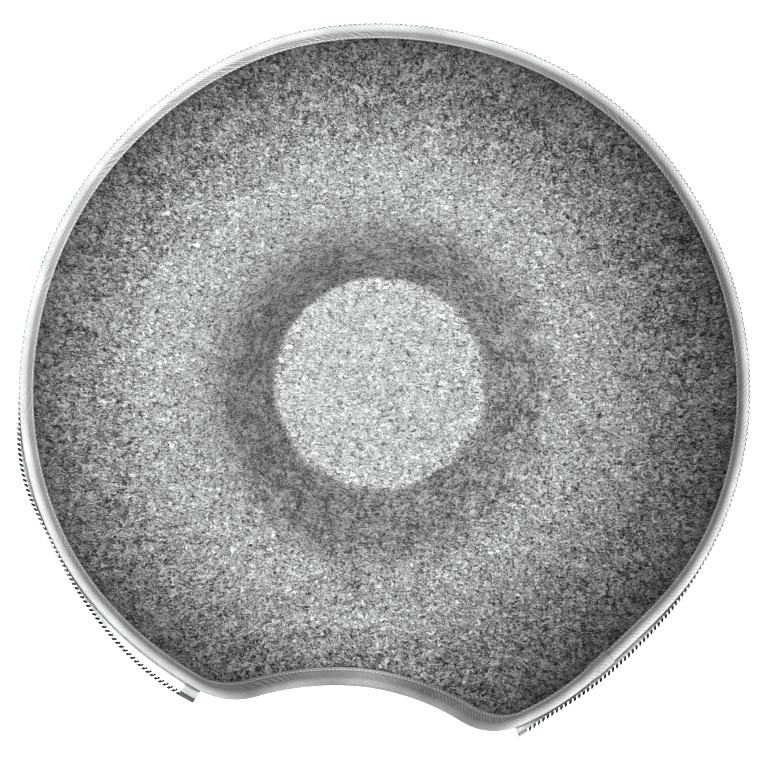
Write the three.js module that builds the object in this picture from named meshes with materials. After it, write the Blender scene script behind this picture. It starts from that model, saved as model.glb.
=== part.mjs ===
// Lower half of a ring-shaped cat tunnel, lying open at its zip. One moulded felt shell has a flat-topped
// post in the middle, a round trough about it and a half-round entrance cut down through the wall. Twill
// binding is folded over the whole cut edge, and half a zip runs outside the rim between the corners of
// the entrance.
//
// Millimetres, +Z up. The shell rests on the flat floor of its trough at z = 0, and the entrance faces -Y.
// Angles run round from the middle of the entrance, anticlockwise from above.

import * as THREE from 'three';

// Felt shell: radii and heights of the middle of its thickness
const FELT_THICKNESS = 4;
const RIM_RADIUS = 294;
const RIM_HEIGHT = 125;
const POST_RADIUS = 86.7;
const PLATEAU_HEIGHT = 117.5;
const PLATEAU_EDGE_RADIUS = 4;
const TROUGH_INNER_RADIUS = 178;
const TROUGH_OUTER_RADIUS = 196;

// Both flanks of the trough are level at the foot. At the top the wall is upright, and the post leans out
// by an angle in degrees. Each of these soft ends takes this share of the flank's run or rise
const FLANK_BEND = 0.45;
const POST_LEAN = 33;

// Entrance: a half ellipse, measured round the rim and down the wall, with its middle a little to the
// right. Its upper corners are rounded from a depth down the wall to a run along the rim
const ENTRANCE_OFFSET = 7;
const ENTRANCE_HALF_WIDTH = 104.5;
const ENTRANCE_DEPTH = 100;
const ENTRANCE_CORNER_DEPTH = 48;
const ENTRANCE_CORNER_RUN = 20;

// Twill binding: a folded strip with one leg on each face of the felt
const BINDING_THICKNESS = 1;
const BINDING_LEG = 12.5;
const BINDING_GAP = 0.6;

// Half a zip: a tape sewn to the outer leg of the binding below its free part, and the bar of its nylon
// coil along the free edge
const TAPE_THICKNESS = 1;
const TAPE_WIDTH = 12;
const TAPE_FREE = 6;
const TAPE_FROM = 27;
const TAPE_TO = 335.5;
const COIL_THICKNESS = 2.2;
const COIL_HEIGHT = 3.3;
const COIL_FROM = 28.3;
const COIL_TO = 332.9;
const PIECE_GAP = 0.35;

// Where the rim has settled out of round: each row is a soft swelling or dent at an angle in degrees,
// fading out within about its reach
const RIM_SWELLINGS = [
  { at: 49, reach: 13, out: -6.6 },
  { at: 89, reach: 25, out: 1.7 },
  { at: 144, reach: 18, out: 2.5 },
  { at: 202, reach: 15, out: 2 },
  { at: 266, reach: 32, out: -2.3 },
  { at: 339, reach: 28, out: -10.5 },
];

// Where the free edge of the zip leans away from the rim, most at the corners of the entrance
const ZIP_FLARES = [
  { at: 25, reach: 6, out: 3.5 },
  { at: 47, reach: 14, out: 2.3 },
  { at: 290, reach: 8, out: 1.9 },
  { at: 331, reach: 19, out: 5.1 },
];

// Faces round the rim, along half of the entrance's curve and round each of its corners
const RIM_STEPS = 60;
const ENTRANCE_STEPS = 12;
const CORNER_STEPS = 7;

// The axis of the post, measured from the middle of the outline
const AXIS_X = -2.1;
const AXIS_Y = -14.3;

// Moulded section of the sheet, from the middle of the plateau to the rim, with the rows of faces
// along each stretch
const FLOOR_HEIGHT = FELT_THICKNESS / 2;
const EDGE_START = POST_RADIUS - PLATEAU_EDGE_RADIUS;
const POST_TURN = THREE.MathUtils.degToRad(POST_LEAN);
const WALL_RUN = RIM_RADIUS - TROUGH_OUTER_RADIUS;

// Points that steer the curve of a flank from its foot to its top, where it leans out by an angle
function flank(foot, top, lean) {
  const run = FLANK_BEND * (top.x - foot.x);
  const rise = FLANK_BEND * (top.y - foot.y);
  const low = new THREE.Vector2(foot.x + run, foot.y);
  const high = new THREE.Vector2(top.x + rise * Math.tan(lean), top.y - rise);
  return [foot, low, high, top];
}

const plateau = new THREE.LineCurve(
  new THREE.Vector2(0, PLATEAU_HEIGHT),
  new THREE.Vector2(EDGE_START, PLATEAU_HEIGHT),
);
const plateauEdge = new THREE.EllipseCurve(
  EDGE_START, PLATEAU_HEIGHT - PLATEAU_EDGE_RADIUS, PLATEAU_EDGE_RADIUS, PLATEAU_EDGE_RADIUS,
  Math.PI / 2, POST_TURN, true,
);
const floorStart = new THREE.Vector2(TROUGH_INNER_RADIUS, FLOOR_HEIGHT);
const floorEnd = new THREE.Vector2(TROUGH_OUTER_RADIUS, FLOOR_HEIGHT);
const postTop = plateauEdge.getPoint(1);
const rimTop = new THREE.Vector2(RIM_RADIUS, RIM_HEIGHT);
const post = new THREE.CubicBezierCurve(...flank(floorStart, postTop, POST_TURN).reverse());
const troughFloor = new THREE.LineCurve(floorStart, floorEnd);
const wall = new THREE.CubicBezierCurve(...flank(floorEnd, rimTop, 0));
const SHEET_STRETCHES = [
  { curve: plateau, rows: 2 },
  { curve: plateauEdge, rows: 3 },
  { curve: post, rows: 7 },
  { curve: troughFloor, rows: 2 },
];
const WALL_ROWS = 7;

const section = new THREE.CurvePath();
section.curves = [...SHEET_STRETCHES.map((stretch) => stretch.curve), wall];
const RIM_ALONG = section.getLength();
const WALL_ALONG = RIM_ALONG - wall.getLength();

function swelling(rows, angle) {
  let out = 0;
  for (const row of rows) {
    const turn = THREE.MathUtils.radToDeg(angle) - row.at;
    const away = THREE.MathUtils.euclideanModulo(turn + 180, 360) - 180;
    out += row.out * Math.exp(-((away / row.reach) ** 2));
  }
  return out;
}

// Middle of the sheet at an angle and a distance along its section. Past the rim the wall runs straight
// up, and its settling fades out down to the floor of the trough
function sheet(angle, along) {
  const moulded = section.getPoint(Math.min(along / RIM_ALONG, 1));
  const above = Math.max(along - RIM_ALONG, 0);
  const share = Math.max(moulded.x - TROUGH_OUTER_RADIUS, 0) / WALL_RUN;
  const radius = moulded.x + share ** 2 * swelling(RIM_SWELLINGS, angle);
  return new THREE.Vector3(radius * Math.sin(angle), -radius * Math.cos(angle), moulded.y + above);
}

// Point off the middle of the sheet, measured square to it and towards the inside of the tunnel
const ANGLE_NUDGE = 0.002;
const ALONG_NUDGE = 0.5;
function place(angle, along, off) {
  const near = Math.max(along, 2 * ALONG_NUDGE);
  const outward = sheet(angle, near + ALONG_NUDGE).sub(sheet(angle, near - ALONG_NUDGE));
  const round = sheet(angle + ANGLE_NUDGE, near).sub(sheet(angle - ANGLE_NUDGE, near));
  const normal = outward.cross(round).normalize();
  return sheet(angle, along).addScaledVector(normal, off);
}

// Closed mesh through a row of sections, each quad split along its shorter diagonal. In a ring the last
// section joins the first, otherwise both ends are capped. A section is a loop of points, or else a line
// between two points on the axis
const SAME_POINT = 1e-6;
function loft(sections, { ring, loop }) {
  const points = sections.flat();
  const across = sections[0].length;
  const corners = [];
  const addFace = (a, b, c) => {
    const sides = [[a, b], [b, c], [c, a]];
    if (sides.every(([p, q]) => points[p].distanceTo(points[q]) > SAME_POINT)) {
      corners.push(a, b, c);
    }
  };
  const spans = ring ? sections.length : sections.length - 1;
  for (let i = 0; i < spans; i += 1) {
    const start = i * across;
    const next = ((i + 1) % sections.length) * across;
    for (let j = 0; j < (loop ? across : across - 1); j += 1) {
      const k = (j + 1) % across;
      const [a, b, c, d] = [start + j, next + j, next + k, start + k];
      if (points[a].distanceTo(points[c]) < points[b].distanceTo(points[d])) {
        addFace(a, b, c);
        addFace(a, c, d);
      } else {
        addFace(a, b, d);
        addFace(b, c, d);
      }
    }
  }
  if (!ring) {
    const last = spans * across;
    for (let j = 1; j < across - 1; j += 1) {
      addFace(0, j, j + 1);
      addFace(last, last + j + 1, last + j);
    }
  }
  const geometry = new THREE.BufferGeometry().setFromPoints(points);
  geometry.setIndex(corners);
  geometry.computeVertexNormals();
  return geometry;
}

// Stations round the cut edge of the felt: half of the entrance, the rim, and the other half
function edgeStations() {
  const lowest = Math.acos(ENTRANCE_CORNER_DEPTH / ENTRANCE_DEPTH);
  const side = new THREE.Vector2(ENTRANCE_HALF_WIDTH * Math.sin(lowest), ENTRANCE_CORNER_DEPTH);
  const lean = (ENTRANCE_HALF_WIDTH * Math.cos(lowest) ** 2) / Math.sin(lowest);
  const turn = new THREE.Vector2(side.x + lean, 0);
  const level = new THREE.Vector2(turn.x + ENTRANCE_CORNER_RUN, 0);
  const corner = new THREE.QuadraticBezierCurve(side, turn, level);
  const half = [];
  for (let i = 0; i < ENTRANCE_STEPS; i += 1) {
    const t = (lowest * i) / ENTRANCE_STEPS;
    half.push(new THREE.Vector2(ENTRANCE_HALF_WIDTH * Math.sin(t), ENTRANCE_DEPTH * Math.cos(t)));
  }
  half.push(...corner.getPoints(CORNER_STEPS));
  const station = (round, down) => ({
    angle: (ENTRANCE_OFFSET + round) / RIM_RADIUS,
    along: RIM_ALONG - down,
  });
  const right = half.map((p) => station(p.x, p.y));
  const left = half.slice(1).reverse().map((p) => station(2 * Math.PI * RIM_RADIUS - p.x, p.y));
  const rim = [];
  for (let i = 1; i < RIM_STEPS; i += 1) {
    const angle = THREE.MathUtils.lerp(right.at(-1).angle, left[0].angle, i / RIM_STEPS);
    rim.push({ angle, along: RIM_ALONG });
  }
  return { edge: [...right, ...rim, ...left], rim: [right.at(-1), ...rim, left[0]] };
}

// Distances along the sheet from the middle out to a station on its edge, with one row under the binding
function rowsTo(edgeAlong) {
  const rows = [0];
  for (const { curve, rows: count } of SHEET_STRETCHES) {
    const start = rows.at(-1);
    for (let i = 1; i <= count; i += 1) {
      rows.push(start + (curve.getLength() * i) / count);
    }
  }
  const bound = edgeAlong - BINDING_LEG;
  for (let i = 1; i <= WALL_ROWS; i += 1) {
    rows.push(THREE.MathUtils.lerp(WALL_ALONG, bound, i / WALL_ROWS));
  }
  rows.push(edgeAlong);
  return rows;
}

// Felt shell: one moulded sheet, cut off square at its edge
function feltShell(stations) {
  const sections = stations.map(({ angle, along }) => {
    const rows = rowsTo(along);
    const outside = rows.map((row) => place(angle, row, -FELT_THICKNESS / 2));
    const inside = rows.map((row) => place(angle, row, FELT_THICKNESS / 2));
    return [...outside, ...inside.reverse()];
  });
  return loft(sections, { ring: true, loop: false });
}

// Binding: a folded strip round the edge. Its section is given as distances in from the edge, along the
// sheet, and off the middle of the felt, listed for the inner half and mirrored for the outer one
const LEG_FACE = FELT_THICKNESS / 2 + BINDING_GAP;
const LEG_BACK = LEG_FACE + BINDING_THICKNESS;
const FOLD = BINDING_GAP + BINDING_THICKNESS;
const SHOULDER = 0.25 * FOLD;
const BINDING_HALF = [
  { into: -FOLD, off: LEG_FACE - 2 * SHOULDER },
  { into: -FOLD + SHOULDER, off: LEG_BACK - SHOULDER },
  { into: 0, off: LEG_BACK },
  { into: BINDING_LEG, off: LEG_BACK },
  { into: BINDING_LEG, off: LEG_FACE },
  { into: -BINDING_GAP, off: LEG_FACE },
];

function edgeBinding(stations) {
  const outerHalf = BINDING_HALF.map(({ into, off }) => ({ into, off: -off })).reverse();
  const outline = [...BINDING_HALF, ...outerHalf];
  const sections = stations.map((station, i) => {
    const before = stations.at(i - 1);
    const after = stations[(i + 1) % stations.length];
    const { angle, along } = station;
    const { x, y } = sheet(angle, along);
    const radius = Math.hypot(x, y);
    const step = (from, to) => {
      const round = THREE.MathUtils.euclideanModulo(to.angle - from.angle + Math.PI, 2 * Math.PI) - Math.PI;
      return new THREE.Vector2(round * radius, to.along - from.along).normalize();
    };
    const way = step(before, station).add(step(station, after)).normalize();
    return outline.map(({ into, off }) => place(angle + (way.y * into) / radius, along - way.x * into, off));
  });
  return loft(sections, { ring: true, loop: true });
}

// Zip pieces follow the rim between two angles, and the free part of the tape leans out with the flares.
// Their sections are given as distances down from the rim and out from the binding
function alongZip(rimStations, from, to, outline) {
  const start = THREE.MathUtils.degToRad(from);
  const end = THREE.MathUtils.degToRad(to);
  const between = rimStations.map(({ angle }) => angle).filter((angle) => angle > start && angle < end);
  const sections = [start, ...between, end].map((angle) => {
    const flare = swelling(ZIP_FLARES, angle);
    return outline.map(({ down, out }) => {
      const lean = flare * Math.max(1 - down / TAPE_FREE, 0);
      return place(angle, RIM_ALONG - down, -LEG_BACK - PIECE_GAP - out - lean);
    });
  });
  return loft(sections, { ring: false, loop: true });
}

const TAPE_STAND_OFF = (COIL_THICKNESS - TAPE_THICKNESS) / 2;
const TAPE_OUTLINE = [
  { down: 0, out: TAPE_STAND_OFF },
  { down: TAPE_FREE, out: TAPE_STAND_OFF / 2 },
  { down: TAPE_WIDTH, out: 0 },
  { down: TAPE_WIDTH, out: TAPE_THICKNESS },
  { down: TAPE_FREE, out: TAPE_STAND_OFF / 2 + TAPE_THICKNESS },
  { down: 0, out: TAPE_STAND_OFF + TAPE_THICKNESS },
];

const COIL_BEVEL = 0.7;
const COIL_TOP = -PIECE_GAP - COIL_HEIGHT;
const COIL_OUTLINE = [
  { down: COIL_TOP, out: COIL_BEVEL },
  { down: COIL_TOP + COIL_BEVEL, out: 0 },
  { down: -PIECE_GAP, out: 0 },
  { down: -PIECE_GAP, out: COIL_THICKNESS },
  { down: COIL_TOP + COIL_BEVEL, out: COIL_THICKNESS },
  { down: COIL_TOP, out: COIL_THICKNESS - COIL_BEVEL },
];

function part(name, geometry, color, roughness) {
  const material = new THREE.MeshStandardMaterial({ color, roughness, metalness: 0 });
  const mesh = new THREE.Mesh(geometry, material);
  mesh.name = name;
  return mesh;
}

const stations = edgeStations();
const zipTape = alongZip(stations.rim, TAPE_FROM, TAPE_TO, TAPE_OUTLINE);
const zipCoil = alongZip(stations.rim, COIL_FROM, COIL_TO, COIL_OUTLINE);

const catTunnel = new THREE.Group();
catTunnel.add(part('felt_shell', feltShell(stations.edge), 0x8f9193, 1));
catTunnel.add(part('edge_binding', edgeBinding(stations.edge), 0xd8dad9, 0.85));
catTunnel.add(part('zip_tape', zipTape, 0xc8cac9, 0.9));
catTunnel.add(part('zip_coil', zipCoil, 0xe2e4e4, 0.45));
catTunnel.position.set(AXIS_X, AXIS_Y, 0);

export default catTunnel;
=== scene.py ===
# Lower half of a donut cat tunnel, lying open at its zip: a moulded felt shell with a post in the middle,
# twill binding round its cut edge, and half a zip outside the rim. Metres, +Z up, entrance towards -Y.
import math

import bpy
import mathutils
import numpy as np
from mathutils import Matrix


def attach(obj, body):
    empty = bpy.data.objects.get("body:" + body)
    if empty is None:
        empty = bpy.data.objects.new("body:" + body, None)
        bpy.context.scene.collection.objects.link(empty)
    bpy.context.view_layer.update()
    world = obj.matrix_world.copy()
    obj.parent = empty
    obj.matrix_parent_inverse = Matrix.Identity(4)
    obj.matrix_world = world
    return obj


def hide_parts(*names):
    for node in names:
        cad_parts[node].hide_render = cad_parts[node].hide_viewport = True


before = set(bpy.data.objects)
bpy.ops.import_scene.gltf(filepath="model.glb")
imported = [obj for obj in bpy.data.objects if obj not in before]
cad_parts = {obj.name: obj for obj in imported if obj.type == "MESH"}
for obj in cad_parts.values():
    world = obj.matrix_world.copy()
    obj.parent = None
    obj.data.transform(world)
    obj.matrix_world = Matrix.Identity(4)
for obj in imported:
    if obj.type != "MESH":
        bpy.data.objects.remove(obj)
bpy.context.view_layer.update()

# Felt shell
# One sheet of grey needle-punched polyester felt, pressed hot over a mould into a flat-topped post, a
# round trough and an outer wall, then cut off at the rim and round the half-round entrance.
felt_thickness = 0.004
rim_radius = 0.294
rim_height = 0.125
post_radius = 0.0867
post_lean = math.radians(33)
plateau_height = 0.1175
plateau_edge_radius = 0.004
trough_inner_radius = 0.178
trough_outer_radius = 0.196
flank_bend = 0.45
floor_height = felt_thickness / 2
wall_run = rim_radius - trough_outer_radius
axis_x = -0.0021
axis_y = -0.0143
rim_swellings = [
    dict(at=49, reach=13, out=-0.0066),
    dict(at=89, reach=25, out=0.0017),
    dict(at=144, reach=18, out=0.0025),
    dict(at=202, reach=15, out=0.0020),
    dict(at=266, reach=32, out=-0.0023),
    dict(at=339, reach=28, out=-0.0105),
]


def arc(centre, radius, start, end, count=600):
    """Points of an arc between two angles in degrees."""
    turn = np.radians(np.linspace(start, end, count))
    return np.column_stack([centre[0] + radius * np.cos(turn), centre[1] + radius * np.sin(turn)])


def flank(foot, top, lean=0.0, count=600):
    """Points of a flank of the trough from its foot, where it is level, to its top, where it leans out
    from upright. Each of these soft ends takes a share of the flank's run or rise."""
    foot, top = np.array(foot), np.array(top)
    run, rise = flank_bend * (top - foot)
    t = np.linspace(0, 1, count)[:, None]
    upper = top - [-rise * math.tan(lean), rise]
    soft_ends = 3 * t * (1 - t) ** 2 * (foot + [run, 0]) + 3 * t**2 * (1 - t) * upper
    return (1 - t) ** 3 * foot + soft_ends + t**3 * top


def lengths_along(points):
    """Distance of each point from the first one, along the line through them."""
    steps = np.linalg.norm(np.diff(points, axis=0), axis=1)
    return np.concatenate([[0.0], np.cumsum(steps)])


# Section of the middle of the felt: plateau, its rounded edge, post, trough floor and wall
flat_reach = post_radius - plateau_edge_radius
edge_middle = (flat_reach, plateau_height - plateau_edge_radius)
plateau_edge = arc(edge_middle, plateau_edge_radius, 90, math.degrees(post_lean))
stretches = [
    np.array([[0, plateau_height], [flat_reach, plateau_height]]),
    plateau_edge,
    flank((trough_inner_radius, floor_height), plateau_edge[-1], post_lean)[::-1],
    np.array([[trough_inner_radius, floor_height], [trough_outer_radius, floor_height]]),
    flank((trough_outer_radius, floor_height), (rim_radius, rim_height)),
]
section = np.vstack(stretches)
section_along = lengths_along(section)
stretch_ends = np.cumsum([lengths_along(stretch)[-1] for stretch in stretches])
rim_along = stretch_ends[-1]


def swelling(rows, angle):
    """How far a row of soft swellings and dents pushes out at an angle in radians."""
    out = np.zeros_like(angle)
    for row in rows:
        away = (np.degrees(angle) - row["at"] + 180) % 360 - 180
        out = out + row["out"] * np.exp(-((away / row["reach"]) ** 2))
    return out


def sheet(angle, along):
    """Middle of the felt at an angle from the entrance and a distance along its section."""
    radius = np.interp(along, section_along, section[:, 0])
    height = np.interp(along, section_along, section[:, 1]) + np.maximum(along - rim_along, 0)
    share = np.maximum(radius - trough_outer_radius, 0) / wall_run
    radius = radius + share**2 * swelling(rim_swellings, angle)
    return np.stack([axis_x + radius * np.sin(angle), axis_y - radius * np.cos(angle), height], -1)


def unit(vectors):
    """Vectors scaled to a length of one."""
    return vectors / np.linalg.norm(vectors, axis=-1, keepdims=True)


def place(angle, along, off):
    """Point off the middle of the felt, square to it and towards the inside of the tunnel."""
    angle, along, off = np.broadcast_arrays(angle, along, off)
    nudge = 0.0002
    near = np.maximum(along, 2 * nudge)
    outward = sheet(angle, near + nudge) - sheet(angle, near - nudge)
    round_it = sheet(angle + nudge, near) - sheet(angle - nudge, near)
    return sheet(angle, along) + unit(np.cross(outward, round_it)) * off[..., None]


# Cut edge: half an ellipse round the rim and down the wall, its rounded corners, and the rim
entrance_offset = 0.007
entrance_half_width = 0.1045
entrance_depth = 0.100
entrance_corner_depth = 0.048
entrance_corner_run = 0.020
ellipse_steps = 300
corner_steps = 80
rim_steps = 1500
lowest = math.acos(entrance_corner_depth / entrance_depth)
turn = np.linspace(0, lowest, ellipse_steps)[:-1]
ellipse = np.column_stack([entrance_half_width * np.sin(turn), entrance_depth * np.cos(turn)])
side = np.array([entrance_half_width * math.sin(lowest), entrance_corner_depth])
bend = np.array([side[0] + entrance_half_width * math.cos(lowest) ** 2 / math.sin(lowest), 0])
level = bend + [entrance_corner_run, 0]
t = np.linspace(0, 1, corner_steps)[:, None]
corner = (1 - t) ** 2 * side + 2 * t * (1 - t) * bend + t**2 * level
right_half = np.vstack([ellipse, corner])
rim_turn = 2 * math.pi * rim_radius
rim_run = np.linspace(level[0], rim_turn - level[0], rim_steps)[1:-1]
rim_line = np.column_stack([rim_run, np.zeros_like(rim_run)])
left_half = np.column_stack([rim_turn - right_half[::-1, 0], right_half[::-1, 1]])
cut_edge = np.vstack([right_half, rim_line, left_half])
cut_angle = (entrance_offset + cut_edge[:, 0]) / rim_radius
cut_along = rim_along - cut_edge[:, 1]
cut_length = lengths_along(sheet(cut_angle, cut_along))
edge_length = cut_length[-1]


def edge_at(distance):
    """Angle and distance along the section of the cut edge, a distance round from the entrance."""
    where = np.asarray(distance) % edge_length
    return np.interp(where, cut_length, cut_angle), np.interp(where, cut_length, cut_along)


def loft_quads(count, across, first=0, ring=False, loop=False):
    """Faces between neighbouring sections of a loft whose points start at an index."""
    i = np.arange(count if ring else count - 1)[:, None]
    j = np.arange(across if loop else across - 1)[None, :]
    k = (j + 1) % across
    here = first + i * across
    after = first + (i + 1) % count * across
    return np.stack([here + j, after + j, after + k, here + k], -1).reshape(-1, 4).tolist()


def loft_ends(count, across):
    """Faces over the first and the last section of a loft."""
    loop = list(range(across))
    return [loop, [(count - 1) * across + i for i in loop[::-1]]]


def mesh_piece(name, points, faces, material, **vectors):
    """Smooth object of a mesh with vectors on each point for its material to read."""
    mesh = bpy.data.meshes.new(name)
    mesh.from_pydata(points.tolist(), [], faces)
    for key, values in vectors.items():
        mesh.attributes.new(key, "FLOAT_VECTOR", "POINT")
        mesh.attributes[key].data.foreach_set("vector", values.astype(np.float32).ravel())
    mesh.shade_smooth()
    mesh.materials.append(material)
    piece = bpy.data.objects.new(name, mesh)
    bpy.context.scene.collection.objects.link(piece)
    return piece


def linear(colour):
    """Linear RGBA of an sRGB hex colour."""
    parts = [int(colour[i : i + 2], 16) / 255 for i in (1, 3, 5)]
    return tuple(c / 12.92 if c <= 0.04045 else ((c + 0.055) / 1.055) ** 2.4 for c in parts) + (1.0,)


def add_node(tree, kind, inputs=None, **settings):
    """Adds a node with its settings. An input is a value, or the output that is linked to it."""
    node = tree.nodes.new(kind)
    for name, value in settings.items():
        setattr(node, name, value)
    for name, value in (inputs or {}).items():
        if isinstance(value, bpy.types.NodeSocket):
            tree.links.new(value, node.inputs[name])
        else:
            node.inputs[name].default_value = value
    return node


def new_material(name):
    """Material with its node tree, its Principled shader and nothing else."""
    material = bpy.data.materials.new(name)
    material.use_nodes = True
    return material, material.node_tree, material.node_tree.nodes["Principled BSDF"]


# Needle-punched polyester felt: pale and dark crimped fibres matted together into short curling strokes
# and soft clumps, with no gloss. The flat attribute is the place on the sheet before it was moulded. The
# attribute of pressing and painted light holds how far pressing has evened its clumps, or loosened them
# where it is below zero, and how much painted light makes it paler.
felt, nodes, shader = new_material("needle_felt")
flat = add_node(nodes, "ShaderNodeAttribute", attribute_name="flat").outputs["Vector"]
crimp_size = 0.0060
crimp_reach = 0.0045
crimp = add_node(
    nodes, "ShaderNodeTexNoise", {"Vector": flat, "Scale": 1 / crimp_size, "Detail": 1.0},
    noise_dimensions="2D",
)
curl = add_node(
    nodes, "ShaderNodeVectorMath", {0: crimp.outputs["Color"], 1: (crimp_reach,) * 3, 2: flat},
    operation="MULTIPLY_ADD",
)
felt_fibres = [
    dict(turn=4, length=0.0120, width=0.0030, tone=0.85),
    dict(turn=-41, length=0.0100, width=0.0027, tone=0.75),
    dict(turn=71, length=0.0095, width=0.0028, tone=0.70),
    dict(turn=-12, length=0.0120, width=0.0031, tone=-0.85),
    dict(turn=35, length=0.0100, width=0.0027, tone=-0.75),
    dict(turn=108, length=0.0095, width=0.0028, tone=-0.70),
]
fibre_share = 0.06
fibre_shift = (0.31, 0.17)
fleck_size = 0.0010
fleck_tone = 1.2
loose_grain = 0.75
felt_clumps = [
    dict(size=0.0050, tone=1.4),
    dict(size=0.0150, tone=1.2),
    dict(size=0.0400, tone=0.6),
]
clumps_left = 0.15
felt_spread = 1.40
felt_relief = 0.0008
flecks = add_node(
    nodes, "ShaderNodeTexNoise", {"Vector": flat, "Scale": 1 / fleck_size, "Detail": 1.0},
    noise_dimensions="2D",
)
grain = add_node(
    nodes, "ShaderNodeMath", {0: flecks.outputs["Fac"], 1: fleck_tone, 2: -fleck_tone / 2},
    operation="MULTIPLY_ADD",
)
tone = grain.outputs[0]
for i, row in enumerate(felt_fibres):
    lie = add_node(
        nodes, "ShaderNodeMapping",
        {"Vector": curl.outputs[0], "Location": (fibre_shift[0] * i, fibre_shift[1] * i, 0),
         "Rotation": (0, 0, math.radians(row["turn"])), "Scale": (row["length"], row["width"], 1)},
        vector_type="TEXTURE",
    )
    noise = add_node(
        nodes, "ShaderNodeTexNoise", {"Vector": lie.outputs[0], "Scale": 1.0, "Detail": 0.0},
        noise_dimensions="2D",
    )
    off_line = add_node(nodes, "ShaderNodeMath", {0: noise.outputs["Fac"], 1: 0.5}, operation="SUBTRACT")
    away = add_node(nodes, "ShaderNodeMath", {0: off_line.outputs[0]}, operation="ABSOLUTE")
    stroke = add_node(
        nodes, "ShaderNodeMapRange",
        {"Value": away.outputs[0], "From Min": 0.0, "From Max": fibre_share, "To Min": 1.0, "To Max": 0.0},
    )
    laid = add_node(
        nodes, "ShaderNodeMath", {0: stroke.outputs[0], 1: row["tone"], 2: tone}, operation="MULTIPLY_ADD"
    )
    tone = laid.outputs[0]
clumped = -0.5 * sum(row["tone"] for row in felt_clumps)
for row in felt_clumps:
    noise = add_node(
        nodes, "ShaderNodeTexNoise", {"Vector": flat, "Scale": 1 / row["size"], "Detail": 1.0},
        noise_dimensions="2D",
    )
    clump = add_node(
        nodes, "ShaderNodeMath", {0: noise.outputs["Fac"], 1: row["tone"], 2: clumped},
        operation="MULTIPLY_ADD",
    )
    clumped = clump.outputs[0]
press = add_node(nodes, "ShaderNodeAttribute", attribute_name="press").outputs["Vector"]
pressed = add_node(nodes, "ShaderNodeSeparateXYZ", {0: press})
loose = add_node(nodes, "ShaderNodeMath", {0: 1.0, 1: pressed.outputs["X"]}, operation="SUBTRACT")
rough = add_node(
    nodes, "ShaderNodeMath", {0: loose.outputs[0], 1: loose_grain, 2: 1.0}, operation="MULTIPLY_ADD"
)
roughened = add_node(nodes, "ShaderNodeMath", {0: tone, 1: rough.outputs[0]}, operation="MULTIPLY")
clouded = add_node(nodes, "ShaderNodeMath", {0: loose.outputs[0], 1: clumps_left}, operation="ADD")
mottled = add_node(
    nodes, "ShaderNodeMath", {0: clumped, 1: clouded.outputs[0], 2: roughened.outputs[0]},
    operation="MULTIPLY_ADD",
)
matted = add_node(
    nodes, "ShaderNodeMapRange",
    {"Value": mottled.outputs[0], "From Min": -felt_spread, "From Max": felt_spread},
)
# Painted light: the attribute's second number makes the felt paler in the middle, at the back left and on
# the post's flank
paled = add_node(
    nodes, "ShaderNodeMath", {0: matted.outputs[0], 1: pressed.outputs["Y"]}, operation="ADD"
)
fibres = add_node(nodes, "ShaderNodeValToRGB", {0: paled.outputs[0]})
fibres.color_ramp.elements[0].color = linear("#4c4c4d")
fibres.color_ramp.elements[1].color = linear("#bbbcbc")
middle_fibre = fibres.color_ramp.elements.new(0.5)
middle_fibre.color = linear("#969798")
relief = add_node(
    nodes, "ShaderNodeBump", {"Height": matted.outputs[0], "Strength": 0.6, "Distance": felt_relief}
)
nodes.links.new(fibres.outputs[0], shader.inputs["Base Color"])
nodes.links.new(relief.outputs[0], shader.inputs["Normal"])
shader.inputs["Roughness"].default_value = 0.95
shader.inputs["Specular IOR Level"].default_value = 0.15
shader.inputs["Sheen Weight"].default_value = 0.10

# Columns run from the axis out to the cut edge, on the outside and back on the inside, which is a
# little lumpy. Moulding has drawn the felt out down its slopes, so its fibres lie coarser there. Pressing
# has evened the plateau and the trough most and left the post's flank loose. Painted light makes the
# middle, the back left and the post's flank a little paler.
felt_columns = 380
outside_rows = (10, 6, 18, 3, 30)
inside_rows = (26, 8, 34, 6, 46)
lump_height = 0.00035
lump_waves = 40
lump_lengths = (0.014, 0.060)
lump_seed = 11
drawn_share = 0.40
press_evened = 0.75
press_limit = 0.260
press_fade = 0.050
# Painted light: the felt is painted paler in the middle, on the plateau and the post
press_paled = 0.122
pale_fade = 0.048
plateau_evened = 0.20
plateau_limit = 0.087
plateau_fade = 0.010
flank_middle = 0.117
flank_reach = 0.028
flank_loosened = 0.70
# Painted light on the post's flank and at the back left
flank_painted_light = 0.055
back_painted_light = 0.045
back_way = (-0.77, 0.64)
back_reach = 0.15
column_angle, column_along = edge_at(edge_length * np.arange(felt_columns) / felt_columns)
column_angle = column_angle[:, None]
column_along = column_along[:, None]


def column_rows(counts):
    """Distances along the section of each column's rows, with a number of rows for each stretch."""
    ends = [np.full_like(column_along, end) for end in (0.0, *stretch_ends[:-1])] + [column_along]
    rows = []
    for start, end, count in zip(ends, ends[1:], counts):
        rows.append(start + (end - start) * np.arange(1, count + 1) / count)
    return np.concatenate(rows, axis=1)


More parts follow.
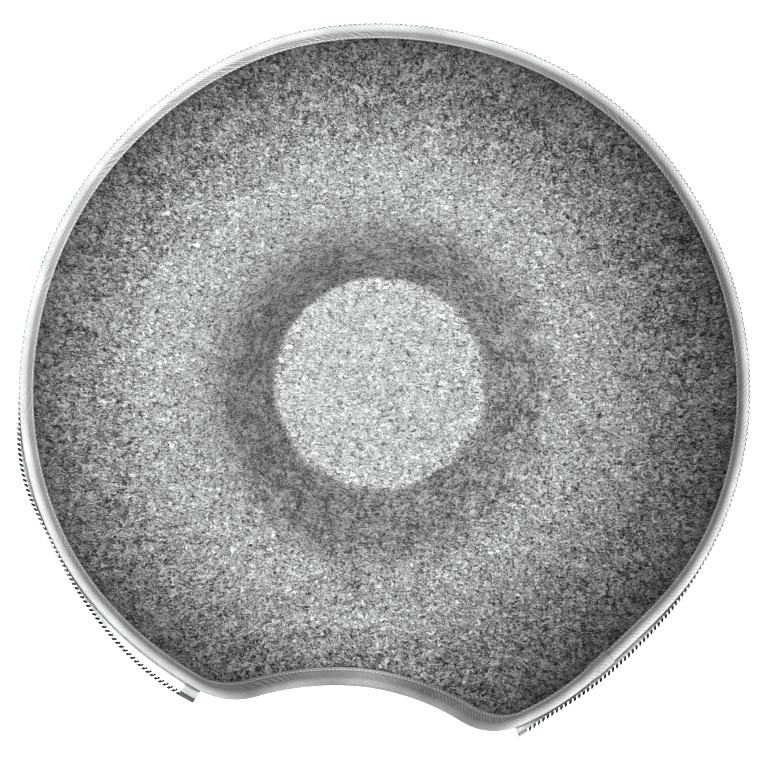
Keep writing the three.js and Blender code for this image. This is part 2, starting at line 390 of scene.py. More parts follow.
outside_along = column_rows(outside_rows)
inside_along = column_rows(inside_rows)[:, ::-1]
rng = np.random.default_rng(lump_seed)
lumps = np.zeros_like(inside_along)
flat_x = inside_along * np.sin(column_angle)
flat_y = -inside_along * np.cos(column_angle)
for _ in range(lump_waves):
    wave_length = rng.uniform(*lump_lengths)
    heading = rng.uniform(0, 2 * math.pi)
    phase = rng.uniform(0, 2 * math.pi)
    ahead = flat_x * math.cos(heading) + flat_y * math.sin(heading)
    lumps += np.sin(2 * math.pi * ahead / wave_length + phase) / math.sqrt(lump_waves / 2)
outside = place(column_angle, outside_along, -felt_thickness / 2)
inside = place(column_angle, inside_along, felt_thickness / 2 + lump_height * lumps)
felt_grid = np.concatenate([outside, inside], axis=1)
steps_in = np.diff(inside[:, ::-1], axis=1, prepend=inside[:, -1:])
steps_in[..., 2] *= drawn_share
over_along = np.cumsum(np.linalg.norm(steps_in, axis=2), axis=1)[:, ::-1] + inside_along[:, -1:]
grid_along = np.concatenate([outside_along, over_along], axis=1)
out_x = felt_grid[..., 0] - axis_x
out_y = felt_grid[..., 1] - axis_y
grid_radius = np.hypot(out_x, out_y)
on_plateau = np.clip((plateau_limit - grid_radius) / plateau_fade, 0, 1)
on_flank = np.exp(-(((grid_radius - flank_middle) / flank_reach) ** 2))
at_back = np.clip((back_way[1] * out_y + back_way[0] * out_x) / back_reach, -1, 1)
evened = press_evened * np.clip((press_limit - grid_radius) / press_fade, 0, 1) * (1 - on_flank)
evened += plateau_evened * on_plateau - flank_loosened * on_flank
# Painted light: paler in the middle, at the back left and on the post's flank
paler = press_paled * np.clip((trough_inner_radius - grid_radius) / pale_fade, 0, 1)
paler += back_painted_light * at_back + flank_painted_light * on_flank
flat_x, flat_y = grid_along * np.sin(column_angle), -grid_along * np.cos(column_angle)
felt_flat = np.stack([flat_x, flat_y, np.zeros_like(flat_x)], -1)
felt_press = np.stack([evened, paler, np.zeros_like(evened)], -1)
across = sum(outside_rows) + sum(inside_rows)
pole = np.array([axis_x, axis_y, plateau_height])
under_pole = pole - [0, 0, felt_thickness / 2]
over_pole = pole + [0, 0, felt_thickness / 2]
felt_points = np.vstack([[under_pole], felt_grid.reshape(-1, 3), [over_pole]])
pole_press = [[press_evened + plateau_evened, press_paled, 0]]
felt_flat = np.vstack([[[0, 0, 0]], felt_flat.reshape(-1, 3), [[0, 0, 0]]])
felt_press = np.vstack([pole_press, felt_press.reshape(-1, 3), pole_press])
felt_faces = loft_quads(felt_columns, across, first=1, ring=True)
last = len(felt_points) - 1
for i in range(felt_columns):
    here = 1 + i * across
    after = 1 + (i + 1) % felt_columns * across
    felt_faces.append([0, after, here])
    felt_faces.append([last, here + across - 1, after + across - 1])
shell = mesh_piece("moulded_felt", felt_points, felt_faces, felt, flat=felt_flat, press=felt_press)
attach(shell, "root")
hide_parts("felt_shell")

# Edge binding
# One strip of light grey twill tape, rolled over the cut edge of the felt with a leg on each face and
# sewn through near its edges. Its end laps over its start beside the right corner of the entrance.
binding_leg = 0.0125
binding_cloth = 0.0009
binding_gap = 0.0004
leg_back = felt_thickness / 2 + binding_gap + binding_cloth
fold_start = 0.0024
fold_roll = 0.0063
fold_turn = math.radians(67)
edge_lift = 0.0009
lap_angle = 43
lap_length = 0.013
lap_ramp = 0.012
lap_lift = 0.0011
binding_stations = 2200
lap_start = float(np.interp(math.radians(lap_angle), cut_angle, cut_length))


def sheet_offsets(distance, into, off):
    """Points beside the cut edge: a distance round it, into the felt from it and off the felt's middle."""
    angle, along = edge_at(distance)
    step = 0.002
    angle_before, along_before = edge_at(distance - step)
    angle_after, along_after = edge_at(distance + step)
    radius = np.hypot(*(sheet(angle, along)[:, :2] - [axis_x, axis_y]).T)
    turned = (angle_after - angle_before + math.pi) % (2 * math.pi) - math.pi
    way = unit(np.column_stack([turned * radius, along_after - along_before]))
    return place(
        angle[:, None] + way[:, 1:] * into / radius[:, None], along[:, None] - way[:, :1] * into, off
    )


# Section of the strip from the edge of its inner leg, over the fold, to the edge of its outer leg. A wide
# roll bends the inner leg over the edge, a tighter one meets the outer leg, and the way back runs under
# the cloth.
seam_into = 0.0098
seam_depth = 0.0003
seam_reach = 0.0012
inner_rows = 14
outer_rows = 5
wide_roll_rows = 11
tight_roll_rows = 9
inner_steps = np.linspace(binding_leg, fold_start, inner_rows)
outer_steps = np.linspace(0, binding_leg, outer_rows)
standing = edge_lift * (inner_steps - fold_start) / (binding_leg - fold_start)
pulled_in = seam_depth * np.exp(-(((inner_steps - seam_into) / seam_reach) ** 2))
fold_outer = (2 * leg_back - fold_roll * (1 - math.cos(fold_turn))) / (1 + math.cos(fold_turn))
inner_into, inner_off = fold_start, leg_back - fold_roll
outer_into = inner_into - (fold_roll - fold_outer) * math.sin(fold_turn)
outer_off = inner_off + (fold_roll - fold_outer) * math.cos(fold_turn)
fold_height = fold_outer - outer_into
inner_turn = np.linspace(0, fold_turn, wide_roll_rows)[1:]
outer_turn = np.linspace(fold_turn, math.pi, tight_roll_rows)[1:-1]
over_into = np.concatenate(
    [
        inner_steps,
        inner_into - fold_roll * np.sin(inner_turn),
        outer_into - fold_outer * np.sin(outer_turn),
        outer_steps,
    ]
)
over_off = np.concatenate(
    [
        leg_back + standing - pulled_in,
        inner_off + fold_roll * np.cos(inner_turn),
        outer_off + fold_outer * np.cos(outer_turn),
        np.full_like(outer_steps, -leg_back),
    ]
)
under_into = np.array([binding_leg, -binding_gap, -binding_gap, binding_leg])
under_off = np.array([-1, -1, 1, 1]) * (felt_thickness / 2 + binding_gap)
strip_into = np.concatenate([over_into, under_into])
strip_off = np.concatenate([over_off, under_off])
strip_across = lengths_along(np.column_stack([over_into, over_off]))
binding_width = strip_across[-1]
under_across = binding_width * np.array([1.0, 0.7, 0.3, 0.0])
strip_across = np.concatenate([strip_across, under_across])
strip_length = edge_length + lap_length
strip_along = np.linspace(0, strip_length, binding_stations)
lifted = np.clip((strip_along - edge_length + lap_ramp) / lap_ramp, 0, 1)
lifted = lap_lift * lifted**2 * (3 - 2 * lifted)

# Puckers lie slantwise over the inner leg in patches
pucker_length = 0.0085
pucker_height = 0.00030
pucker_slant = 0.7
pucker_wander = 0.003
patch_waves = 12
patch_lengths = (0.05, 0.25)
patch_calm = 2.4
patch_mean = 0.45
patch_swing = 0.5
patch_most = 1.3
slow = np.zeros_like(strip_along)
for _ in range(patch_waves):
    wave_length = rng.uniform(*patch_lengths)
    phase = rng.uniform(0, 2 * math.pi)
    slow += np.sin(2 * math.pi * strip_along / wave_length + phase) / patch_calm
patchy = np.clip(patch_mean + patch_swing * slow, 0, patch_most)
pucker_place = strip_across[None, :] * pucker_slant - strip_along[:, None] + pucker_wander * slow[:, None]
puckers = pucker_height * patchy[:, None] * np.sin(2 * math.pi * pucker_place / pucker_length)
on_top = np.arange(len(strip_into)) < len(over_into) - len(outer_steps)
puckered = np.where(on_top & (strip_into > 0), np.sin(np.pi * np.clip(strip_into / seam_into, 0, 1)), 0)
raised = puckers * puckered + lifted[:, None]
fold_side = np.where(strip_into < 0, np.clip(-strip_into / fold_height, 0, 1), 0)
leg_side = np.sqrt(1 - fold_side**2) * np.sign(strip_off)
offs = strip_off + raised * leg_side
intos = strip_into - raised * fold_side
binding_grid = sheet_offsets(lap_start + strip_along, intos, offs)
count, across = offs.shape
binding_faces = loft_quads(count, across, loop=True) + loft_ends(count, across)

# Painted light and shade on the tape, with the wear of its ribs: a painted highlight along the edge of its
# inner leg, painted light on the inner leg, most at the back, and painted shade round the entrance and on
# the leg at the entrance's corners. Its ribs are flattened on the fold, round the entrance and along the
# left side.
leg_reach = 0.018
leg_fade = 0.008
# Painted highlight along the free edge of the inner leg
edge_highlight = 0.35
edge_highlight_reach = 0.0014
rib_reach = 0.0130
rib_fade = 0.004
fold_ribs = 0.15
# Painted light on the inner leg; painted shade round the entrance and at its corners
leg_painted_light = [dict(at=215, reach=80, out=0.70), dict(at=50, reach=40, out=0.30)]
# Painted shade round the entrance and on the leg at its corners
entrance_painted_shade = [dict(at=0, reach=19, out=-0.40)]
corner_painted_shade = [dict(at=15, reach=7, out=-0.40), dict(at=346, reach=7, out=-0.30)]
smooth_places = [dict(at=285, reach=45, out=0.80), dict(at=0, reach=30, out=0.95)]
station_angle = edge_at(lap_start + strip_along)[0]
leg_share = np.clip((leg_reach - strip_across) / leg_fade, 0, 1)
painted_edge_highlight = edge_highlight * np.clip(1 - strip_across / edge_highlight_reach, 0, 1)
# Painted light and shade: edge highlight, light on the leg, shade round the entrance and its corners
painted_light_shade = swelling(leg_painted_light, station_angle)[:, None] * leg_share + painted_edge_highlight
painted_light_shade += swelling(entrance_painted_shade, station_angle)[:, None]
painted_light_shade += swelling(corner_painted_shade, station_angle)[:, None] * leg_share
ribbed = 1 - np.clip(swelling(smooth_places, station_angle), 0, 1)
off_fold = np.clip((rib_reach - strip_across) / rib_fade, 0, 1)
rib_share = ribbed[:, None] * (fold_ribs + (1 - fold_ribs) * off_fold)
strip_place = np.stack(
    [
        np.broadcast_to(strip_along[:, None], offs.shape),
        np.broadcast_to(strip_across[None, :], offs.shape),
        np.zeros(offs.shape),
    ],
    -1,
)
strip_wear = np.stack([painted_light_shade, rib_share, np.zeros(offs.shape)], -1)

# Cotton twill tape: slanting ribs of soft matt yarn with painted shade in the grooves, a little grubby in
# places. The ribs are about 0.7 mm apart on the real tape and are drawn 2.7 mm apart, as the photo shows
# them.
twill_rib = 0.0027
twill_slant = math.radians(45)
twill_relief = 0.0003
yarn_size = 0.0011
yarn_tone = 0.6
soil_size = 0.035
soil_tone = 0.5
tone_range = (0.3, 2.0)
# At this scale a wave texture has one band to a unit
wave_unit = 2 * math.pi / 20
twill, nodes, shader = new_material("twill_tape")
strip = add_node(nodes, "ShaderNodeAttribute", attribute_name="strip").outputs["Vector"]
wear = add_node(nodes, "ShaderNodeAttribute", attribute_name="wear").outputs["Vector"]
worn_and_lit = add_node(nodes, "ShaderNodeSeparateXYZ", {0: wear})
ribs_lie = add_node(
    nodes, "ShaderNodeMapping",
    {"Vector": strip, "Rotation": (0, 0, twill_slant), "Scale": (twill_rib, twill_rib, twill_rib)},
    vector_type="TEXTURE",
)
# Painted shade: the grooves between the ribs darken the yarn's colour
groove = add_node(
    nodes, "ShaderNodeTexWave",
    {"Vector": ribs_lie.outputs[0], "Scale": wave_unit, "Distortion": 0.25, "Detail": 1.0,
     "Phase Offset": math.pi / 2},
    bands_direction="Y",
)
flattened = add_node(
    nodes, "ShaderNodeMix", {"Factor": worn_and_lit.outputs["Y"], "A": 0.5, "B": groove.outputs["Fac"]},
    data_type="FLOAT",
)
yarn = add_node(nodes, "ShaderNodeTexNoise", {"Vector": strip, "Scale": 1 / yarn_size, "Detail": 2.0})
soil = add_node(nodes, "ShaderNodeTexNoise", {"Vector": strip, "Scale": 1 / soil_size, "Detail": 2.0})
ribs_and_yarn = add_node(
    nodes, "ShaderNodeMath", {0: yarn.outputs["Fac"], 1: yarn_tone, 2: flattened.outputs[0]},
    operation="MULTIPLY_ADD",
)
soiled_and_shaded = add_node(
    nodes, "ShaderNodeMath", {0: soil.outputs["Fac"], 1: soil_tone, 2: ribs_and_yarn.outputs[0]},
    operation="MULTIPLY_ADD",
)
# Adds the painted light and shade of the first wear number
with_painted_light = add_node(nodes, "ShaderNodeMath", {0: soiled_and_shaded.outputs[0], 1: worn_and_lit.outputs["X"]}, operation="ADD")
weave = add_node(
    nodes, "ShaderNodeMapRange",
    {"Value": with_painted_light.outputs[0], "From Min": tone_range[0], "From Max": tone_range[1]},
)
yarns = add_node(nodes, "ShaderNodeValToRGB", {0: weave.outputs[0]})
yarns.color_ramp.elements[0].color = linear("#6e6f6f")
yarns.color_ramp.elements[1].color = linear("#e6e7e7")
plain_yarn = yarns.color_ramp.elements.new(0.45)
plain_yarn.color = linear("#abacac")
rib_relief = add_node(
    nodes, "ShaderNodeBump",
    {"Height": ribs_and_yarn.outputs[0], "Strength": 0.5, "Distance": twill_relief},
)
nodes.links.new(yarns.outputs[0], shader.inputs["Base Color"])
nodes.links.new(rib_relief.outputs[0], shader.inputs["Normal"])
shader.inputs["Roughness"].default_value = 0.85
shader.inputs["Specular IOR Level"].default_value = 0.25
shader.inputs["Sheen Weight"].default_value = 0.2

binding = mesh_piece(
    "twill_binding", binding_grid.reshape(-1, 3), binding_faces, twill, strip=strip_place.reshape(-1, 3),
    wear=strip_wear.reshape(-1, 3),
)
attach(binding, "root")
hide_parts("edge_binding")

# Zip tape
# The woven polyester tape of half a zip, sewn flat to the outer leg of the binding, with its free edge
# up and bending out in places. A cord along that edge fills the coil. Its ends are cut off.
tape_thickness = 0.0010
tape_width = 0.012
tape_free = 0.006
tape_from = math.radians(27.0)
tape_to = math.radians(335.5)
coil_from = math.radians(28.3)
coil_to = math.radians(332.9)
zip_gap = 0.00035
zip_lean_in = 0.0010
cord_thickness = 0.0015
cord_rise = 0.0048
cord_round = 0.0004
cord_top_share = 0.6
cord_foot = 0.0034
painted_shade_flare = 0.0009
cord_end_painted_shade = 0.5
tape_end_painted_shade = 0.30
zip_flares = [
    dict(at=25, reach=6, out=0.0022),
    dict(at=47, reach=14, out=0.0015),
    dict(at=290, reach=8, out=0.0013),
    dict(at=331, reach=19, out=0.0032),
]


def beside_rim(angle, down, out):
    """Points of the zip: down from the rim and out from the binding, bending out with the flares."""
    flare = swelling(zip_flares, angle)
    lean = flare * np.maximum(1 - down / tape_free, 0) ** 2
    return place(angle, rim_along - down, -leg_back - zip_gap - out - lean)


tape_stations = 760
tape_angle = np.linspace(tape_from, tape_to, tape_stations)
tape_down = np.array(
    [-cord_rise, -cord_rise + cord_round, -cord_foot, -0.0022, 0, 0.002, 0.004, tape_free, tape_width]
)
leaning_in = np.array([1.0, 1.0, 1.0, 0.2] + [0.0] * 5)
tape_middle = tape_thickness / 2 - zip_lean_in * leaning_in
cord_rows = [cord_top_share * cord_thickness, cord_thickness, cord_thickness]
tape_half = np.array(cord_rows + [tape_thickness] * 6) / 2
loop_down = np.concatenate([tape_down, tape_down[::-1]])
loop_out = np.concatenate([tape_middle - tape_half, (tape_middle + tape_half)[::-1]])
tape_shape = (tape_stations, len(loop_down))
tape_grid = beside_rim(tape_angle[:, None], loop_down, loop_out)
tape_faces = loft_quads(*tape_shape, loop=True) + loft_ends(*tape_shape)
# Painted shade: the cord is painted dark where the zip bends out and past the coil's ends
painted_cord_shade = np.clip(swelling(zip_flares, tape_angle) / painted_shade_flare, 0, 1)
painted_cord_shade[(tape_angle < coil_from) | (tape_angle > coil_to)] = cord_end_painted_shade
tape_place = np.stack(
    [
        np.broadcast_to(rim_radius * (tape_angle[:, None] - tape_from), tape_shape),
        np.broadcast_to(loop_down, tape_shape),
        np.zeros(tape_shape),
    ],
    -1,
)
tape_painted_shade = np.zeros(tape_shape + (3,))
tape_painted_shade[..., 0] = painted_cord_shade[:, None]
# Painted shade: the tape past the coil's left end is painted darker
tape_painted_shade[tape_angle > coil_to, :, 1] = tape_end_painted_shade

# Woven polyester tape: fine lengthwise ribs crossed by picks, matt with a slight lustre. The ribs are
# about 0.4 mm apart on the real tape and are drawn 0.9 mm apart so that they show. The cord attribute
# holds painted shade: how dark the cord is painted, as shade between the coil's strands where the zip
# bends out and past the coil's ends, and how much the tape's end is painted darker towards that colour,
# as shade.
tape_cloth, nodes, shader = new_material("woven_zip_tape")
strip = add_node(nodes, "ShaderNodeAttribute", attribute_name="strip").outputs["Vector"]
tape_rib = 0.0009
tape_pick = 0.0012
tape_relief = 0.0003
cord_line = (-0.0038, -0.0034)
thread_lie = add_node(
    nodes, "ShaderNodeMapping", {"Vector": strip, "Scale": (tape_pick, tape_rib, tape_rib)},
    vector_type="TEXTURE",
)
picks = add_node(
    nodes, "ShaderNodeTexWave", {"Vector": thread_lie.outputs[0], "Scale": wave_unit, "Distortion": 0.6},
    bands_direction="X",
)
warp = add_node(
    nodes, "ShaderNodeTexWave", {"Vector": thread_lie.outputs[0], "Scale": wave_unit, "Distortion": 0.4},
    bands_direction="Y",
)
threads = add_node(
    nodes, "ShaderNodeMath", {0: picks.outputs["Fac"], 1: warp.outputs["Fac"]}, operation="MULTIPLY"
)
across_tape = add_node(nodes, "ShaderNodeSeparateXYZ", {0: strip})
below_cord = add_node(
    nodes, "ShaderNodeMapRange",
    {"Value": across_tape.outputs["Y"], "From Min": cord_line[0], "From Max": cord_line[1]},
)
cord = add_node(nodes, "ShaderNodeAttribute", attribute_name="cord").outputs["Vector"]
painted_shade_parts = add_node(nodes, "ShaderNodeSeparateXYZ", {0: cord})
unshaded_cord = add_node(nodes, "ShaderNodeMath", {0: 1.0, 1: painted_shade_parts.outputs["X"]}, operation="SUBTRACT")
plain_share = add_node(
    nodes, "ShaderNodeMath", {0: below_cord.outputs[0], 1: unshaded_cord.outputs[0]}, operation="MAXIMUM"
)
tape_share = add_node(
    nodes, "ShaderNodeMath", {0: plain_share.outputs[0], 1: painted_shade_parts.outputs["Y"]}, operation="SUBTRACT"
)
thread_tone = add_node(nodes, "ShaderNodeValToRGB", {0: threads.outputs[0]})
thread_tone.color_ramp.elements[0].color = linear("#d0d2d2")
thread_tone.color_ramp.elements[1].color = linear("#f2f3f3")
# Painted shade: #47484a stands for the shade between the coil's strands and on the tape's end
painted_shade_or_tape = add_node(
    nodes, "ShaderNodeMix",
    {"Factor": tape_share.outputs[0], 6: linear("#47484a"), 7: thread_tone.outputs[0]},
    data_type="RGBA",
)
thread_relief = add_node(
    nodes, "ShaderNodeBump", {"Height": threads.outputs[0], "Strength": 0.5, "Distance": tape_relief}
)
nodes.links.new(painted_shade_or_tape.outputs[2], shader.inputs["Base Color"])
nodes.links.new(thread_relief.outputs[0], shader.inputs["Normal"])
shader.inputs["Roughness"].default_value = 0.75
shader.inputs["Specular IOR Level"].default_value = 0.3
shader.inputs["Subsurface Weight"].default_value = 0.8
shader.inputs["Subsurface Radius"].default_value = (1.0, 1.0, 1.0)
shader.inputs["Subsurface Scale"].default_value = 0.001

tape = mesh_piece(
    "zip_tape_strip", tape_grid.reshape(-1, 3), tape_faces, tape_cloth, strip=tape_place.reshape(-1, 3),
    cord=tape_painted_shade.reshape(-1, 3),
)
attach(tape, "root")
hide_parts("zip_tape")

# Zip coil
# A white nylon monofilament wound into a flat coil round the cord edge of the tape, so that its heads
# stand above the rim. Seen from above, its strands cross the cord, which shows between them, painted dark
# as shade where the zip bends out.
coil_pitch = 0.0042
coil_wire = 0.00080
coil_half_height = 0.0010
coil_half_thickness = 0.0011
coil_down = -0.0040
coil_steps = 12
coil_sides = 7
coil_stations = 900
nylon_streak = 0.0015


def path_object(name, chains):
    """Object of edges along open chains of points. Each chain also has an outward and an upward vector
    on every point."""
    points = np.vstack([chain["points"] for chain in chains])
    edges = []
    first = 0
    for chain in chains:
        size = len(chain["points"])
        edges += [(first + i, first + i + 1) for i in range(size - 1)]
        first += size
    mesh = bpy.data.meshes.new(name)
    mesh.from_pydata(points.tolist(), edges, [])
    for key in ("outward", "upward"):
        values = np.vstack([chain[key] for chain in chains]).astype(np.float32)
        mesh.attributes.new(key, "FLOAT_VECTOR", "POINT")
        mesh.attributes[key].data.foreach_set("vector", values.ravel())
    path = bpy.data.objects.new(name, mesh)
    bpy.context.scene.collection.objects.link(path)
    return path


def node_group(name, sizes):
    """Geometry tree with its group input and output, and a named input for each size."""
    tree = bpy.data.node_groups.new(name, "GeometryNodeTree")
    tree.interface.new_socket("Geometry", in_out="OUTPUT", socket_type="NodeSocketGeometry")
    tree.interface.new_socket("Geometry", in_out="INPUT", socket_type="NodeSocketGeometry")
    for key, value in sizes.items():
        kind = "NodeSocketInt" if isinstance(value, int) else "NodeSocketFloat"
        tree.interface.new_socket(key, in_out="INPUT", socket_type=kind)
    return tree, tree.nodes.new("NodeGroupInput").outputs


def apply_nodes(path, tree, sizes):
    """Turns a path into the plain mesh that a geometry tree makes from it with these sizes."""
    modifier = path.modifiers.new(tree.name, "NODES")
    modifier.node_group = tree
    for item in tree.interface.items_tree:
        if item.in_out == "INPUT" and item.name in sizes:
            modifier[item.identifier] = sizes[item.name]
    made = path.evaluated_get(bpy.context.evaluated_depsgraph_get())
    mesh = bpy.data.meshes.new_from_object(made)
    path.modifiers.clear()
    path.data = mesh
    mesh.name = path.name
    mesh.shade_smooth()
    return path


# White nylon monofilament: smooth and slightly see-through, with a soft gloss and a few drawn streaks
nylon, nodes, shader = new_material("white_nylon")
place_on = add_node(nodes, "ShaderNodeTexCoord").outputs["Object"]
streaks = add_node(
    nodes, "ShaderNodeTexNoise", {"Vector": place_on, "Scale": 1 / nylon_streak, "Detail": 2.0}
)
nylon_tone = add_node(nodes, "ShaderNodeValToRGB", {0: streaks.outputs["Fac"]})
nylon_tone.color_ramp.elements[0].color = linear("#dfe1e1")
nylon_tone.color_ramp.elements[1].color = linear("#f6f7f7")
nodes.links.new(nylon_tone.outputs[0], shader.inputs["Base Color"])
shader.inputs["Roughness"].default_value = 0.38
shader.inputs["IOR"].default_value = 1.53
shader.inputs["Subsurface Weight"].default_value = 0.8
shader.inputs["Subsurface Radius"].default_value = (1.0, 1.0, 1.0)
shader.inputs["Subsurface Scale"].default_value = 0.002

coil_sizes = {
    "Steps": int(round(rim_radius * (coil_to - coil_from) / coil_pitch)) * coil_steps + 1,
    "Turn": 2 * math.pi / coil_steps,
    "Half Thickness": coil_half_thickness,
    "Half Height": coil_half_height,
    "Drift": -coil_pitch / (4 * math.pi),
    "Wire Radius": coil_wire,
    "Sides": coil_sides,
}
tree, given = node_group("wind_coil", coil_sizes)
line = add_node(tree, "GeometryNodeMeshToCurve", {"Mesh": given["Geometry"]})
steps = add_node(tree, "GeometryNodeResampleCurve", {"Curve": line.outputs[0], "Count": given["Steps"]})
index = add_node(tree, "GeometryNodeInputIndex")
wound = add_node(tree, "ShaderNodeMath", {0: index.outputs[0], 1: given["Turn"]}, operation="MULTIPLY")
arms = []
for key, wave, half in (("outward", "COSINE", "Half Thickness"), ("upward", "SINE", "Half Height")):
    vector = add_node(tree, "GeometryNodeInputNamedAttribute", {"Name": key}, data_type="FLOAT_VECTOR")
    swing = add_node(tree, "ShaderNodeMath", {0: wound.outputs[0]}, operation=wave)
    reach = add_node(tree, "ShaderNodeMath", {0: swing.outputs[0], 1: given[half]}, operation="MULTIPLY")
    arm = add_node(
        tree, "ShaderNodeVectorMath", {0: vector.outputs[0], "Scale": reach.outputs[0]}, operation="SCALE"
    )
    arms.append(arm.outputs[0])
both = add_node(tree, "ShaderNodeVectorMath", {0: arms[0], 1: arms[1]}, operation="ADD")
twice = add_node(tree, "ShaderNodeMath", {0: wound.outputs[0], 1: 2.0}, operation="MULTIPLY")
sway = add_node(tree, "ShaderNodeMath", {0: twice.outputs[0]}, operation="SINE")
drift = add_node(tree, "ShaderNodeMath", {0: sway.outputs[0], 1: given["Drift"]}, operation="MULTIPLY")
forward = add_node(tree, "GeometryNodeInputTangent")
squared = add_node(
    tree, "ShaderNodeVectorMath", {0: forward.outputs[0], "Scale": drift.outputs[0]}, operation="SCALE"
)
all_three = add_node(
    tree, "ShaderNodeVectorMath", {0: both.outputs[0], 1: squared.outputs[0]}, operation="ADD"
)
helix = add_node(
    tree, "GeometryNodeSetPosition", {"Geometry": steps.outputs[0], "Offset": all_three.outputs[0]}
)
wire = add_node(
    tree, "GeometryNodeCurvePrimitiveCircle", {"Resolution": given["Sides"], "Radius": given["Wire Radius"]}
)
tube = add_node(
    tree, "GeometryNodeCurveToMesh",
    {"Curve": helix.outputs[0], "Profile Curve": wire.outputs[0], "Fill Caps": True},
)
plain = add_node(tree, "GeometryNodeRealizeInstances", {0: tube.outputs[0]})
painted = add_node(tree, "GeometryNodeSetMaterial", {"Geometry": plain.outputs[0], "Material": nylon})
add_node(tree, "NodeGroupOutput", {0: painted.outputs[0]})

coil_angle = np.linspace(coil_from, coil_to, coil_stations)
coil_out = tape_thickness / 2 - zip_lean_in
nudge = 0.001
coil_line = beside_rim(coil_angle, coil_down, coil_out)
coil_chain = dict(
    points=coil_line,
    outward=unit(beside_rim(coil_angle, coil_down, coil_out + nudge) - coil_line),
    upward=unit(beside_rim(coil_angle, coil_down - nudge, coil_out) - coil_line),
)
coil = apply_nodes(path_object("nylon_coil", [coil_chain]), tree, coil_sizes)
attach(coil, "root")
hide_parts("zip_coil")

# Seam stitches
# Light polyester sewing thread: one row of lockstitches through both legs of the binding, seen on its
# inner leg, on its outer leg round the entrance, and on the zip tape that is sewn on with it.
stitch_pitch = 0.0032
stitch_length = 0.0025
stitch_radius = 0.00028
stitch_lift = 0.0001
seam_stations = 1600
lip_stations = 500
lip_clear = 0.004

# Spun polyester thread: matt, with its plies as fine paler and darker flecks
ply_size = 0.0005
thread, nodes, shader = new_material("sewing_thread")
place_on = add_node(nodes, "ShaderNodeTexCoord").outputs["Object"]
plies = add_node(nodes, "ShaderNodeTexNoise", {"Vector": place_on, "Scale": 1 / ply_size, "Detail": 1.0})
thread_colour = add_node(nodes, "ShaderNodeValToRGB", {0: plies.outputs["Fac"]})
thread_colour.color_ramp.elements[0].color = linear("#a9abab")
thread_colour.color_ramp.elements[1].color = linear("#e4e5e5")
nodes.links.new(thread_colour.outputs[0], shader.inputs["Base Color"])
shader.inputs["Roughness"].default_value = 0.6
shader.inputs["Sheen Weight"].default_value = 0.2

stitch_sizes = {"Pitch": stitch_pitch, "Length": stitch_length, "Thread Radius": stitch_radius}
tree, given = node_group("sew_row", stitch_sizes)
line = add_node(tree, "GeometryNodeMeshToCurve", {"Mesh": given["Geometry"]})
spots = add_node(
    tree, "GeometryNodeResampleCurve", {"Curve": line.outputs[0], "Length": given["Pitch"]}, mode="LENGTH"
)
half_length = add_node(tree, "ShaderNodeMath", {0: given["Length"], 1: 0.5}, operation="MULTIPLY")
ball = add_node(tree, "GeometryNodeMeshUVSphere", {"Segments": 6, "Rings": 6, "Radius": 1.0})
stretch = add_node(
    tree, "ShaderNodeCombineXYZ",
    {"X": given["Thread Radius"], "Y": given["Thread Radius"], "Z": half_length.outputs[0]},
)
along_row = add_node(tree, "GeometryNodeInputTangent")
lay = add_node(tree, "FunctionNodeAlignRotationToVector", {"Vector": along_row.outputs[0]}, axis="Z")
sewn = add_node(
    tree, "GeometryNodeInstanceOnPoints",
    {"Points": spots.outputs[0], "Instance": ball.outputs[0], "Rotation": lay.outputs[0],
     "Scale": stretch.outputs[0]},
)
plain = add_node(tree, "GeometryNodeRealizeInstances", {0: sewn.outputs[0]})
painted = add_node(tree, "GeometryNodeSetMaterial", {"Geometry": plain.outputs[0], "Material": thread})
add_node(tree, "NodeGroupOutput", {0: painted.outputs[0]})

seam_along = np.linspace(0, edge_length, seam_stations)
tape_start = float(np.interp(tape_from, cut_angle, cut_length))
tape_end = float(np.interp(tape_to, cut_angle, cut_length))
lip_along = np.linspace(tape_end + lip_clear, edge_length + tape_start - lip_clear, lip_stations)


def seam_on_binding(distance, off):
    """Row of points on a leg of the binding, at the seam's distance from the edge."""
    return sheet_offsets(distance, np.full((len(distance), 1), seam_into), off)[:, 0]


seam_off = leg_back - seam_depth + edge_lift * (seam_into - fold_start) / (binding_leg - fold_start)
seam_rows = [
    seam_on_binding(seam_along, seam_off + stitch_lift),
    seam_on_binding(lip_along, -leg_back - stitch_lift),
    beside_rim(tape_angle, seam_into, tape_thickness + stitch_lift),
]
seam_chains = [dict(points=row, outward=row * 0, upward=row * 0) for row in seam_rows]
stitches = apply_nodes(path_object("seam_stitches", seam_chains), tree, stitch_sizes)
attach(stitches, "root")

# Floor and light
# A pale seamless paper floor under one broad overhead softbox, set a little towards the front right.
# The white surround shows to the camera alone and lights nothing.
floor_size = 6.0
floor_drop = 0.0004
softbox_at = (0.50, -0.20, 4.15)
softbox_size = 7.0
softbox_power = 735
floor_mesh = bpy.data.meshes.new("floor")
corners = [(-1, -1), (1, -1), (1, 1), (-1, 1)]
floor_mesh.from_pydata(
    [(x * floor_size / 2, y * floor_size / 2, -floor_drop) for x, y in corners], [], [(0, 1, 2, 3)]
)
floor = bpy.data.objects.new("floor", floor_mesh)
bpy.context.scene.collection.objects.link(floor)
paper, nodes, shader = new_material("floor_paper")
shader.inputs["Base Color"].default_value = linear("#f4f4f4")
shader.inputs["Roughness"].default_value = 0.9
floor_mesh.materials.append(paper)

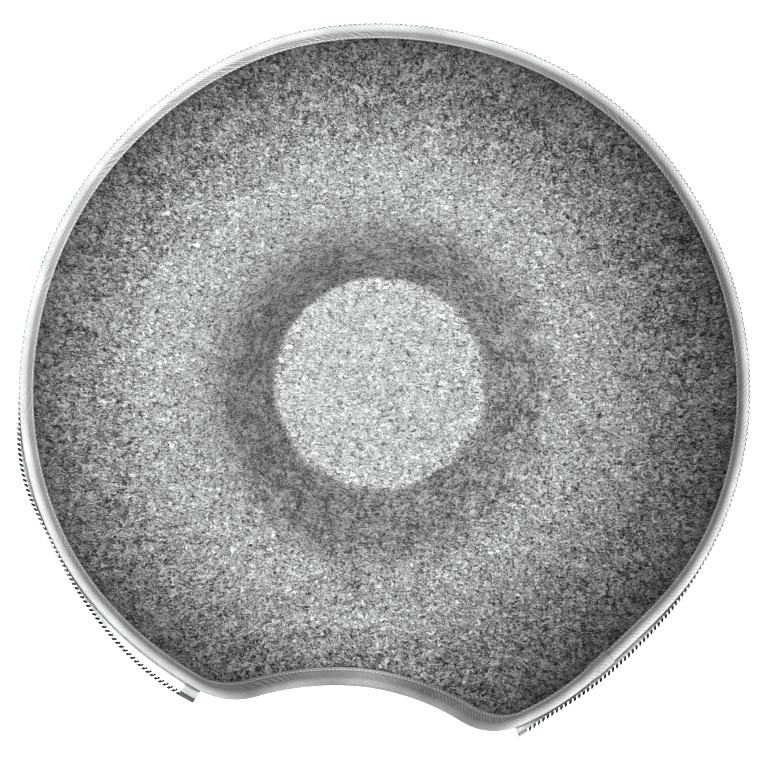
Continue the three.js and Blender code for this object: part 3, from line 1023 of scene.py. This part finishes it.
lamp = bpy.data.lights.new("overhead_softbox", "AREA")
lamp.size = softbox_size
lamp.energy = softbox_power
softbox = bpy.data.objects.new("overhead_softbox", lamp)
softbox.location = softbox_at
to_origin = -mathutils.Vector(softbox_at)
softbox.rotation_euler = to_origin.to_track_quat("-Z", "Y").to_euler()
bpy.context.scene.collection.objects.link(softbox)

world = bpy.data.worlds.new("studio")
bpy.context.scene.world = world
world.use_nodes = True
surround = world.node_tree.nodes["Background"]
surround.inputs["Color"].default_value = linear("#ffffff")
surround.inputs["Strength"].default_value = 1.0
world.cycles_visibility.diffuse = False
world.cycles_visibility.glossy = False
world.cycles_visibility.transmission = False
world.cycles_visibility.scatter = False
bpy.context.scene.view_settings.view_transform = "Standard"
bpy.context.scene.view_settings.gamma = 0.5

# Camera
# A pinhole nearly straight above the open side, tilted a little towards the front right. It was fitted to
# the rim and the plateau, with its focal length and shift in pixels of the picture.
image_height = 781
focal_pixels = 1414.9
sensor = 36.0
camera_distance = 1.150
camera_tilt = math.radians(5.0)
tilt_towards = math.radians(300.4)
camera_roll = math.radians(5.4)
target = np.array([axis_x, axis_y, rim_height])
frame_shift = (11.0, -8.5)
back = np.array(
    [
        math.sin(camera_tilt) * math.cos(tilt_towards),
        math.sin(camera_tilt) * math.sin(tilt_towards),
        math.cos(camera_tilt),
    ]
)
right = np.array([math.cos(camera_roll), math.sin(camera_roll), 0.0])
right = unit(right - back * float(right @ back))
up = np.cross(back, right)
lens = bpy.data.cameras.new("photo_camera")
lens.sensor_width = sensor
lens.lens = focal_pixels / image_height * sensor
lens.shift_x = frame_shift[0] / image_height
lens.shift_y = frame_shift[1] / image_height
lens.clip_start = 0.01
camera = bpy.data.objects.new("photo_camera", lens)
bpy.context.scene.collection.objects.link(camera)
camera_at = target + camera_distance * back
rows = [[*turned, moved] for turned, moved in zip(np.array([right, up, back]).T, camera_at)]
camera.matrix_world = mathutils.Matrix(rows + [[0, 0, 0, 1]])
bpy.context.scene.camera = camera
